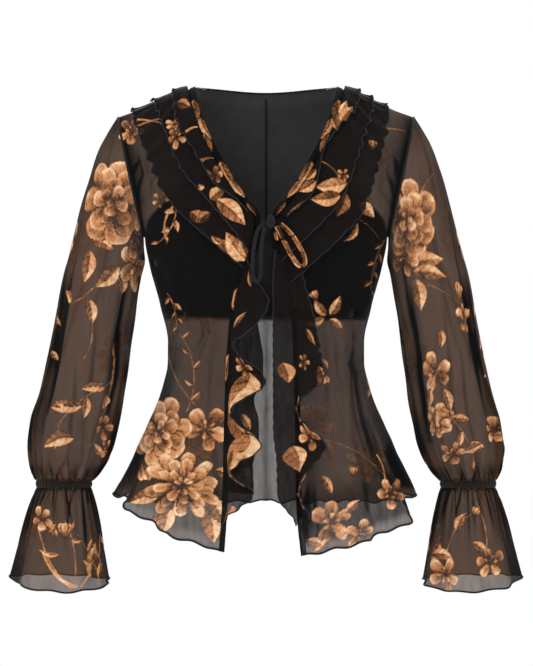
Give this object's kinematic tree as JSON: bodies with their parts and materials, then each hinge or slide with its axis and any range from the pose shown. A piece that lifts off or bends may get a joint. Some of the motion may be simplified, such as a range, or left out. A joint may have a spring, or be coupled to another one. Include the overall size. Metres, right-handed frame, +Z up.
{
  "type": "ruffled sheer blouse",
  "caption": "Long-sleeved sheer blouse with a V neck, layered ruffle collar, tied bust, open cascading front, cropped lining and flared cuffs, worn hollow.",
  "frame": {"origin": "the middle of the shoulders at neck height, where the wearer's shoulders hold the blouse", "axes": "+Z up the body, -Y to the wearer's front, +X to the wearer's left"},
  "size_m": [0.632, 0.2869, 0.6217],
  "materials": {
    "sheer_cloth": "sheer black chiffon with a copper flower print",
    "sleeve_cloth": "sheer black chiffon with a copper flower print, gathered",
    "lining_cloth": "opaque black knit, matt",
    "ruffle_cloth": "sheer black chiffon, overlocked edge",
    "band_cloth": "printed chiffon folded double",
    "binding_cloth": "black folded binding",
    "tie_cloth": "printed rouleau strap"
  },
  "bodies": {
    "root": {"front_left": "sheer_cloth", "back_left": "sheer_cloth", "sleeve_left": "sleeve_cloth", "cuff_left": "sleeve_cloth", "wrist_casing_left": "band_cloth", "collar_outer_left": "ruffle_cloth", "collar_middle_left": "ruffle_cloth", "collar_inner_left": "ruffle_cloth", "cascade_left": "ruffle_cloth", "front_band_left": "band_cloth", "neck_band_left": "band_cloth", "front_right": "sheer_cloth", "back_right": "sheer_cloth", "sleeve_right": "sleeve_cloth", "cuff_right": "sleeve_cloth", "wrist_casing_right": "band_cloth", "collar_outer_right": "ruffle_cloth", "collar_middle_right": "ruffle_cloth", "collar_inner_right": "ruffle_cloth", "cascade_right": "ruffle_cloth", "front_band_right": "band_cloth", "neck_band_right": "band_cloth", "cascade_under_right": "ruffle_cloth", "lining_front": "lining_cloth", "lining_back": "lining_cloth", "back_neck_binding": "binding_cloth", "tie_knot": "tie_cloth", "tie_loop_left": "tie_cloth", "tie_tail_left": "tie_cloth", "tie_loop_right": "binding_cloth"}
  },
  "joints": []
}
